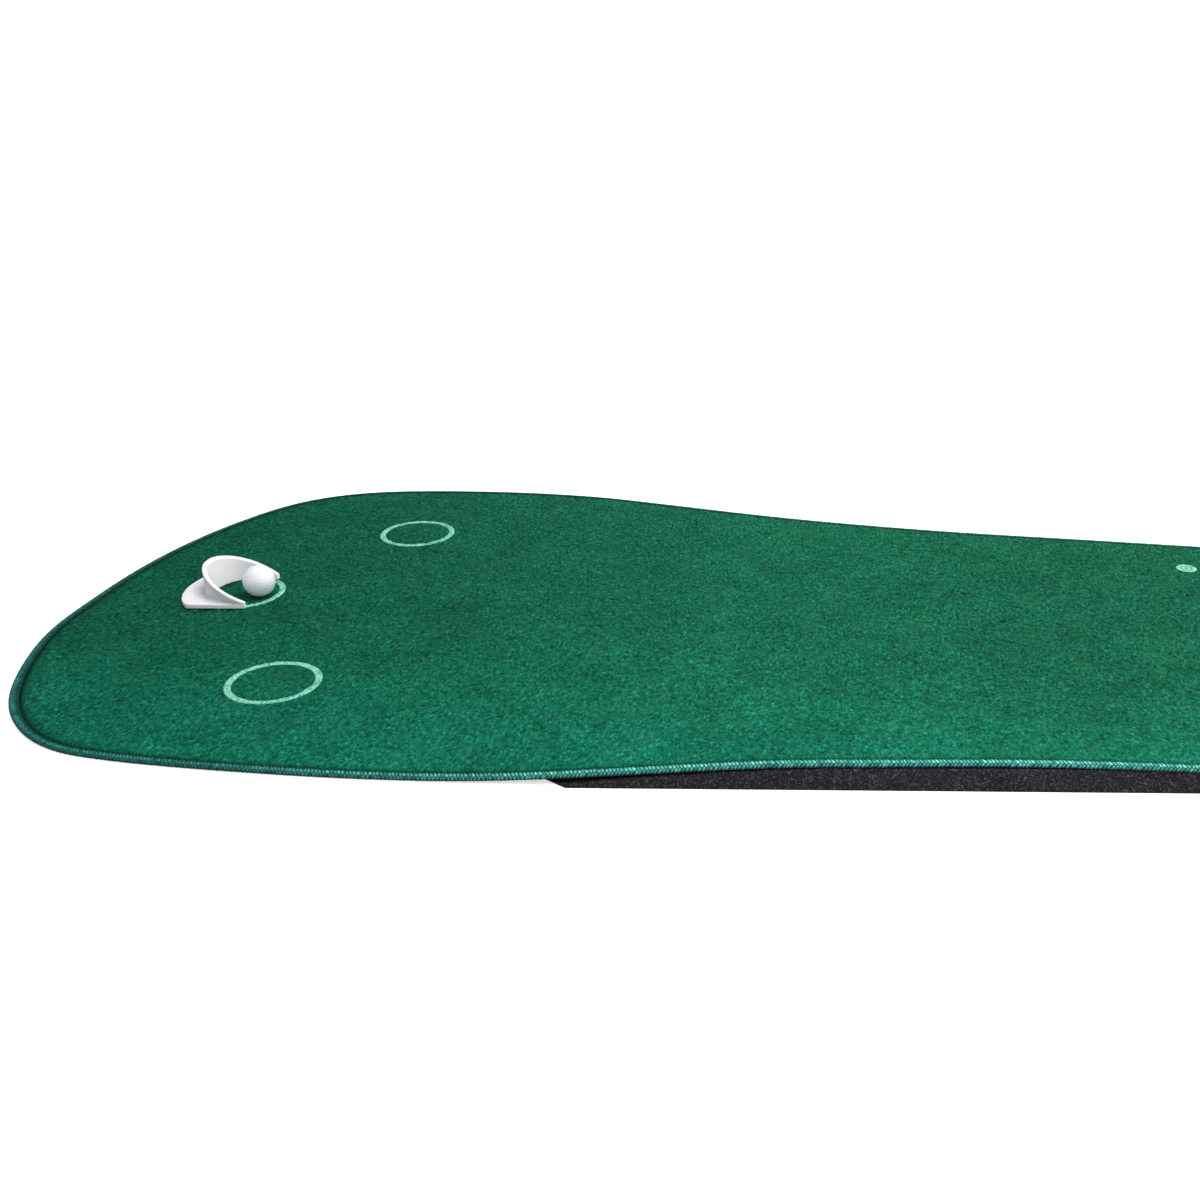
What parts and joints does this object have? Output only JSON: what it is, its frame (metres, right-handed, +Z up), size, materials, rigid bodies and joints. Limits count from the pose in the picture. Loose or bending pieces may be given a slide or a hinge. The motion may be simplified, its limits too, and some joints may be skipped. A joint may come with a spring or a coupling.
{
  "type": "practice putting mat",
  "caption": "Artificial turf strip with rounded, waisted outline and bound edge, printed target circles, a loose foam wedge under one side, a loose ball stop and a ball.",
  "frame": {"origin": "on the floor, under the middle of the mat's length and width", "axes": "+X along the mat's length from the target circles towards the putting end, +Y across it to the back edge, away from the foam wedge, +Z up"},
  "size_m": [2.7432, 0.9144, 0.0531],
  "materials": {
    "turf_green": "matte",
    "backing_cloth": "matte",
    "backing_foam": "matte",
    "binding_teal": "satin",
    "thread_teal": "satin",
    "mint_ink": "matte",
    "stop_white": "satin",
    "ball_white": "gloss",
    "ball_core_rubber": "satin",
    "wedge_foam": "matte"
  },
  "bodies": {
    "mat": {"foam_backing": "backing_foam", "primary_backing": "backing_cloth", "turf_pile": "turf_green", "edge_binding": "binding_teal", "binding_stitching": "thread_teal", "target_ring_near": "mint_ink", "target_ring_middle": "mint_ink", "target_ring_far": "mint_ink", "start_marks": "mint_ink"},
    "wedge": {"foam_wedge": "wedge_foam"},
    "stop": {"ball_stop": "stop_white"},
    "ball": {"ball_cover": "ball_white", "ball_core": "ball_core_rubber"}
  },
  "joints": [
    {"name": "wedge_slide", "type": "slide", "parent": "mat", "child": "wedge", "axis": [0.1109, -0.9938, 0], "range_m": [0, 0.4]},
    {"name": "stop_lift", "type": "slide", "parent": "mat", "child": "stop", "axis": [0, 0, 1], "range_m": [0, 0.15]},
    {"name": "ball_roll", "type": "slide", "parent": "mat", "child": "ball", "axis": [1, 0.0071, 0], "range_m": [0, 1.2592]}
  ]
}
